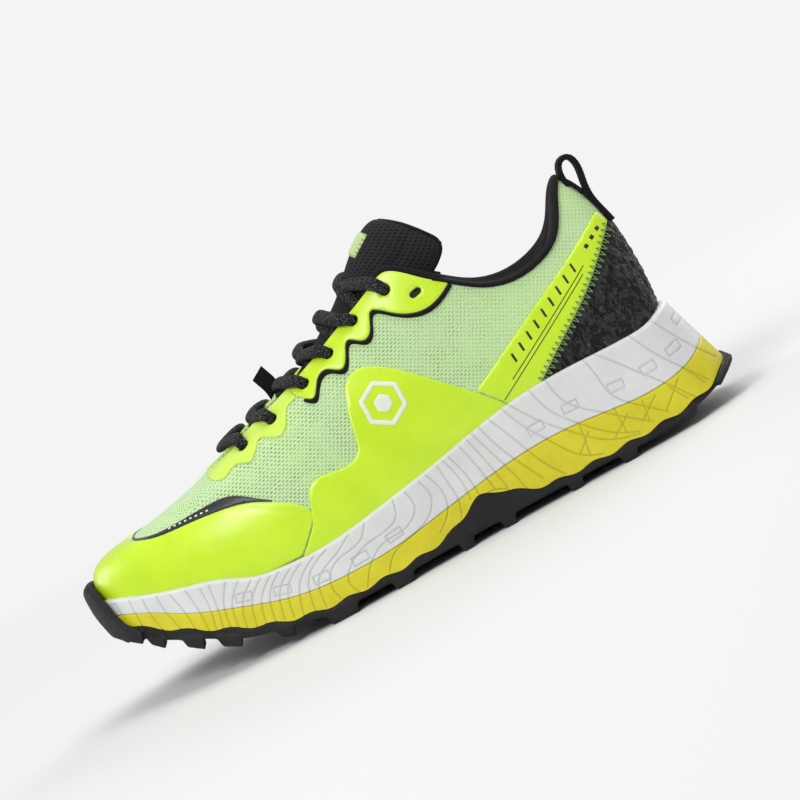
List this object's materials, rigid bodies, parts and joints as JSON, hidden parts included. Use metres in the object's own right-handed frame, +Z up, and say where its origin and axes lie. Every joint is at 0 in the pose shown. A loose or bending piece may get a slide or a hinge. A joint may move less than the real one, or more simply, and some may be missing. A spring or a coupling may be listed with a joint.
{
  "type": "running shoe",
  "caption": "Left trail running shoe with a lugged rubber outsole, two-layer foam midsole, knit upper with welded films, threaded lace, padded tongue and heel pull loop.",
  "frame": {"origin": "on the ground plane under the middle of the shoe's overall box", "axes": "+X towards the heel, +Y towards the medial (inner) side, +Z up; the toe points along -X"},
  "size_m": [0.2976, 0.1074, 0.1393],
  "materials": {
    "tread_rubber": "matte",
    "foam_yellow": "satin",
    "foam_white": "satin",
    "board": "matte",
    "sockliner_foam": "matte",
    "stiffener": "matte",
    "mesh_knit": "matte",
    "padding_foam": "matte",
    "black_cloth": "matte",
    "lime_film": "gloss",
    "black_film": "satin",
    "pale_print": "satin",
    "black_mesh": "matte",
    "black_webbing": "matte",
    "clear_plastic": "gloss"
  },
  "bodies": {
    "shoe": {"aglet_lateral": "clear_plastic", "aglet_medial": "clear_plastic", "badge_dot": "pale_print", "badge_ring": "pale_print", "collar_binding_lateral": "black_cloth", "collar_binding_medial": "black_cloth", "collar_foam_lateral": "padding_foam", "collar_foam_medial": "padding_foam", "collar_lining_lateral": "black_cloth", "collar_lining_medial": "black_cloth", "eyestay_binding_lateral": "black_film", "eyestay_binding_medial": "black_film", "eyestay_lower_lateral": "lime_film", "eyestay_lower_medial": "lime_film", "eyestay_upper_lateral": "lime_film", "eyestay_upper_medial": "lime_film", "heel_counter": "stiffener", "heel_panel": "black_film", "heel_strap_lateral": "lime_film", "heel_strap_medial": "lime_film", "lace": "black_webbing", "lace_keeper": "black_webbing", "mesh_quarter_lateral": "mesh_knit", "mesh_quarter_medial": "mesh_knit", "mesh_vamp": "mesh_knit", "midsole_lower": "foam_yellow", "midsole_upper": "foam_white", "outsole": "tread_rubber", "pull_loop_anchor": "black_webbing", "side_overlay_lateral": "lime_film", "side_overlay_medial": "lime_film", "sockliner": "sockliner_foam", "strobel_board": "board", "toe_cap": "lime_film", "toe_puff": "stiffener", "toe_stripe": "black_film", "tongue_body": "black_mesh"},
    "tongue_top": {"tongue_flap": "black_mesh", "tongue_label": "pale_print"},
    "loop": {"pull_loop": "black_webbing"}
  },
  "joints": [
    {"name": "tongue_fold", "type": "hinge", "parent": "shoe", "child": "tongue_top", "pos_m": [0.01575, 0.00095, 0.1225], "axis": [0, -1, 0], "range_deg": [0, 25], "stiffness_Nm_per_rad": 0.08},
    {"name": "loop_swing", "type": "hinge", "parent": "shoe", "child": "loop", "pos_m": [0.12485, 0.00095, 0.109], "axis": [0, -1, 0], "range_deg": [-12, 0], "stiffness_Nm_per_rad": 0.01}
  ]
}
